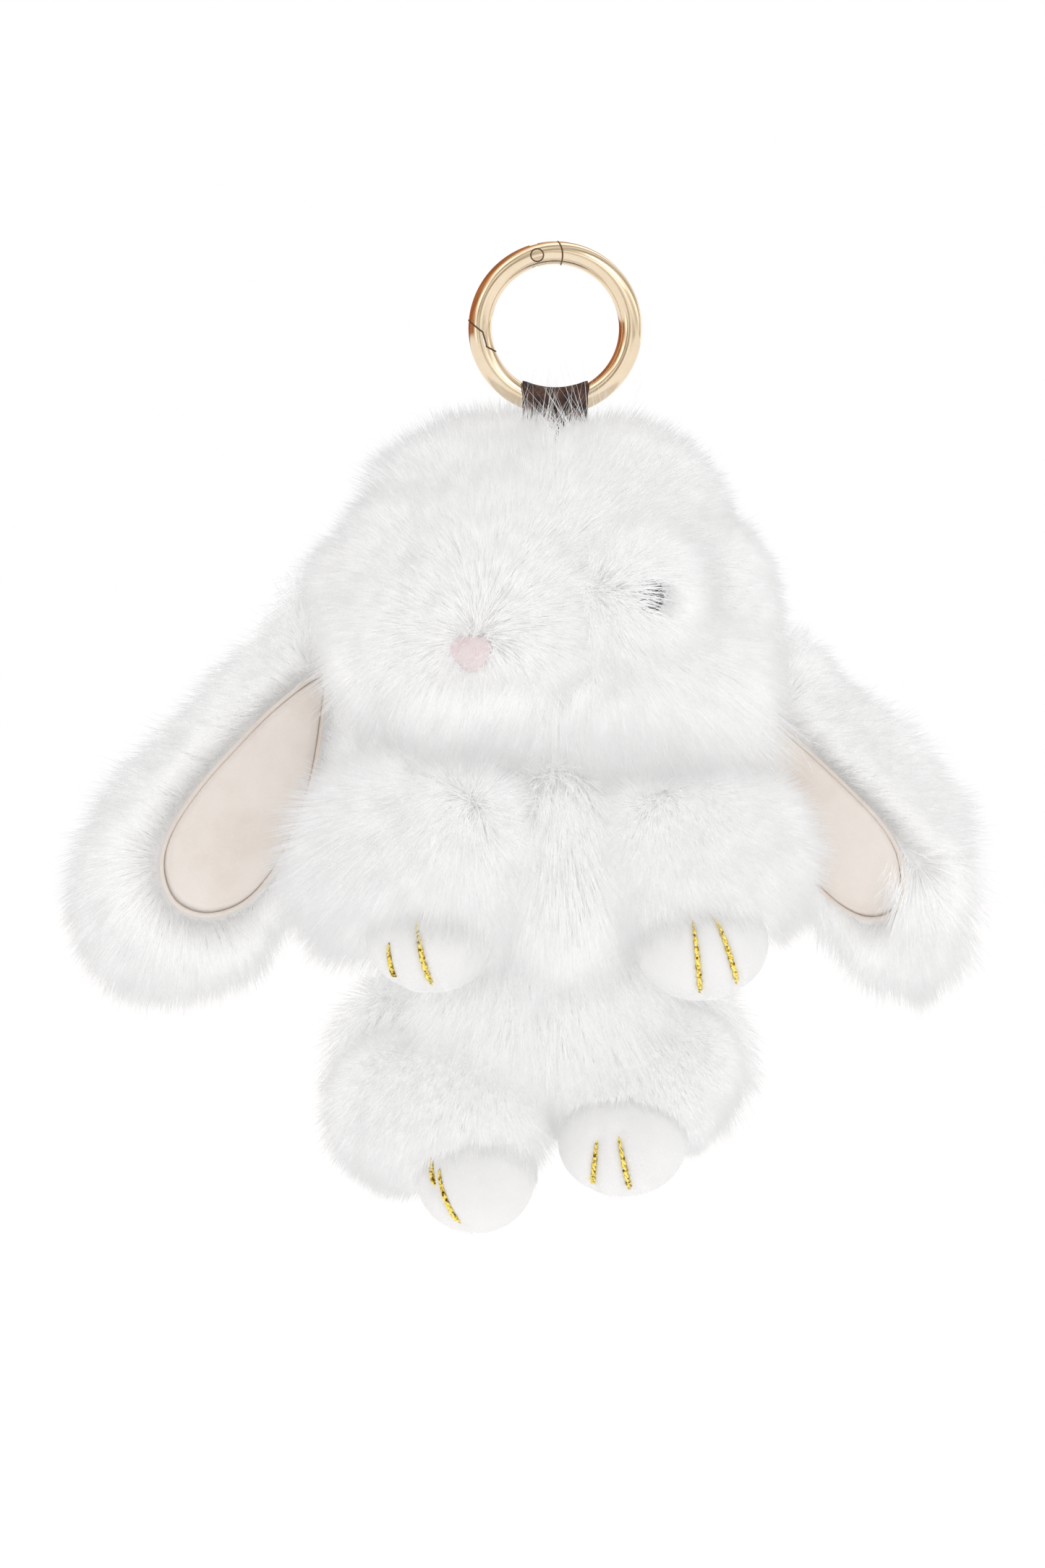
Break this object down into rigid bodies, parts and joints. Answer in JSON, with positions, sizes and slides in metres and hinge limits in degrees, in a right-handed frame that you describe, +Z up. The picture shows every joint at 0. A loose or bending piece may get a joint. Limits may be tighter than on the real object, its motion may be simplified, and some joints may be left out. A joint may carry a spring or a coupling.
{
  "type": "plush keychain",
  "caption": "Fluffy lop-eared toy rabbit hung by a short leather strap from a round spring-gate ring, with a jointed neck, flapping ears and swinging limbs.",
  "frame": {"origin": "centre of the ring's opening, in the ring's mid plane", "axes": "+Z up, from the rabbit to the ring's top; +X towards the viewer's right; +Y away from the viewer, along the ring's axis, so the rabbit faces -Y"},
  "size_m": [0.1765, 0.0735, 0.1935],
  "materials": {
    "ring_metal": "polished",
    "spring_steel": "satin",
    "strap_leather": "satin",
    "sewing_thread": "matte",
    "fur": "matte",
    "ear_lining": "satin",
    "stuffing": "matte",
    "paw_plush": "matte",
    "gold_thread": "satin",
    "eye_plastic": "gloss",
    "washer_plastic": "matte",
    "nose_fabric": "matte"
  },
  "bodies": {
    "ring": {"ring_body": "ring_metal"},
    "gate": {"ring_gate": "ring_metal", "gate_rivet": "ring_metal", "gate_spring": "spring_steel"},
    "strap": {"strap_loop": "strap_leather"},
    "head": {"head_pelt": "fur", "head_stuffing": "stuffing", "eye_left": "eye_plastic", "eye_right": "eye_plastic", "eye_washer_left": "washer_plastic", "eye_washer_right": "washer_plastic", "nose_patch": "nose_fabric", "strap_tail": "strap_leather", "strap_stitches": "sewing_thread"},
    "neck": {"neck_cord": "sewing_thread"},
    "torso": {"torso_pelt": "fur", "torso_stuffing": "stuffing"},
    "ear_left": {"ear_left_pelt": "fur", "ear_left_lining": "ear_lining"},
    "ear_right": {"ear_right_pelt": "fur", "ear_right_lining": "ear_lining"},
    "arm_left": {"arm_left_sleeve": "fur", "arm_left_stuffing": "stuffing", "arm_left_paw": "paw_plush", "arm_left_toe_stitches": "gold_thread"},
    "arm_right": {"arm_right_sleeve": "fur", "arm_right_stuffing": "stuffing", "arm_right_paw": "paw_plush", "arm_right_toe_stitches": "gold_thread"},
    "leg_left": {"leg_left_sleeve": "fur", "leg_left_stuffing": "stuffing", "leg_left_paw": "paw_plush", "leg_left_toe_stitches": "gold_thread"},
    "leg_right": {"leg_right_sleeve": "fur", "leg_right_stuffing": "stuffing", "leg_right_paw": "paw_plush", "leg_right_toe_stitches": "gold_thread"}
  },
  "joints": [
    {"name": "gate_swing", "type": "hinge", "parent": "ring", "child": "gate", "pos_m": [-0.00353, 0, 0.01417], "axis": [0, -1, 0], "range_deg": [0, 35], "stiffness_Nm_per_rad": 0.02, "springref_deg": -22.92},
    {"name": "ring_turn", "type": "hinge", "parent": "ring", "child": "strap", "pos_m": [0, 0, 0], "axis": [0, 1, 0], "range_deg": [-140, 25]},
    {"name": "strap_flex", "type": "hinge", "parent": "strap", "child": "head", "pos_m": [0, 0, -0.022], "axis": [1, 0, 0], "range_deg": [-35, 35]},
    {"name": "ear_left_flap", "type": "hinge", "parent": "head", "child": "ear_left", "pos_m": [-0.045, 0.0055, -0.044], "axis": [0.9023, 0, -0.4311], "range_deg": [-12, 60]},
    {"name": "ear_right_flap", "type": "hinge", "parent": "head", "child": "ear_right", "pos_m": [0.046, 0.0055, -0.058], "axis": [0.9166, 0, 0.3998], "range_deg": [-12, 60]},
    {"name": "neck_turn", "type": "hinge", "parent": "head", "child": "neck", "pos_m": [0, -0.002, -0.0822], "axis": [0, 0, 1], "range_deg": [-20, 20], "stiffness_Nm_per_rad": 0.002},
    {"name": "neck_nod", "type": "hinge", "parent": "neck", "child": "torso", "pos_m": [0, -0.002, -0.0822], "axis": [1, 0, 0], "range_deg": [-12, 12], "stiffness_Nm_per_rad": 0.004},
    {"name": "arm_left_swing", "type": "hinge", "parent": "torso", "child": "arm_left", "pos_m": [-0.024, -0.01, -0.092], "axis": [-1, 0, 0], "range_deg": [0, 45]},
    {"name": "arm_right_swing", "type": "hinge", "parent": "torso", "child": "arm_right", "pos_m": [0.026, -0.01, -0.092], "axis": [-1, 0, 0], "range_deg": [0, 45]},
    {"name": "leg_left_swing", "type": "hinge", "parent": "torso", "child": "leg_left", "pos_m": [-0.021, -0.006, -0.139], "axis": [-1, 0, 0], "range_deg": [0, 40]},
    {"name": "leg_right_swing", "type": "hinge", "parent": "torso", "child": "leg_right", "pos_m": [0.018, -0.006, -0.136], "axis": [-1, 0, 0], "range_deg": [0, 40]}
  ]
}
